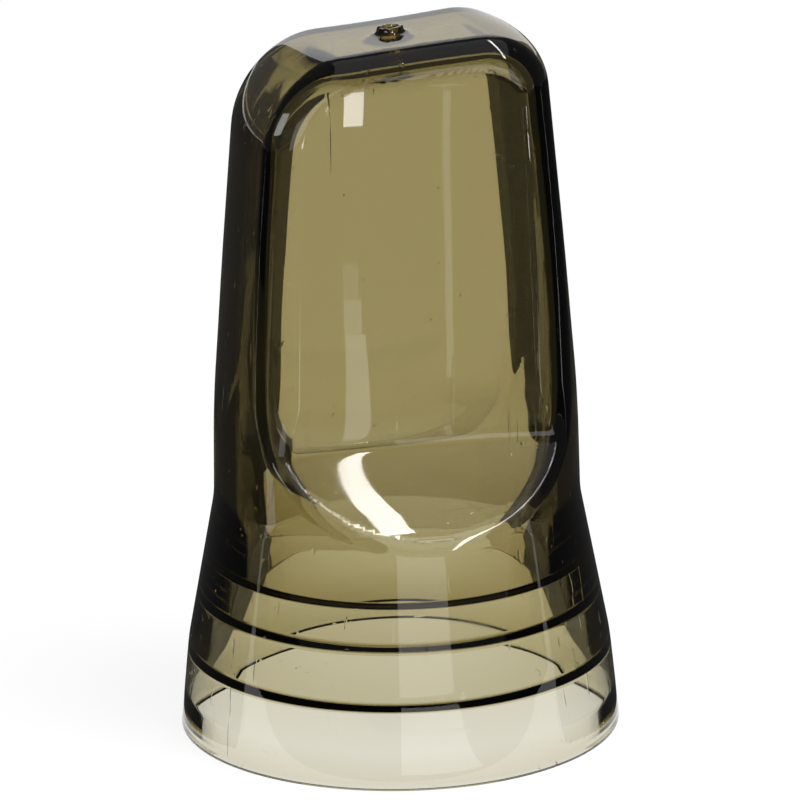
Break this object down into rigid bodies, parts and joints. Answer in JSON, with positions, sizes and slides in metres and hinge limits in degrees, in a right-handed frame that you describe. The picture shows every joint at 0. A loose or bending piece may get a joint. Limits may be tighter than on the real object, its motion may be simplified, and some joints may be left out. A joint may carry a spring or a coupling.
{
  "type": "bottle pourer dust cap",
  "caption": "Hollow slip-over dust cap for a bottle pourer: one transparent smoke-tinted plastic moulding with finger grips and a stepped, flared mouth.",
  "frame": {"origin": "centre of the mouth rim's plane, on the cap's axis", "axes": "+Z from the open mouth to the closed top, +X along the width of the finger grips, which face +Y and -Y"},
  "size_m": [0.044, 0.044, 0.0708],
  "materials": {
    "smoke_plastic": "clear gloss, smoke tint"
  },
  "bodies": {
    "root": {"pourer_cap": "smoke_plastic"}
  },
  "joints": []
}
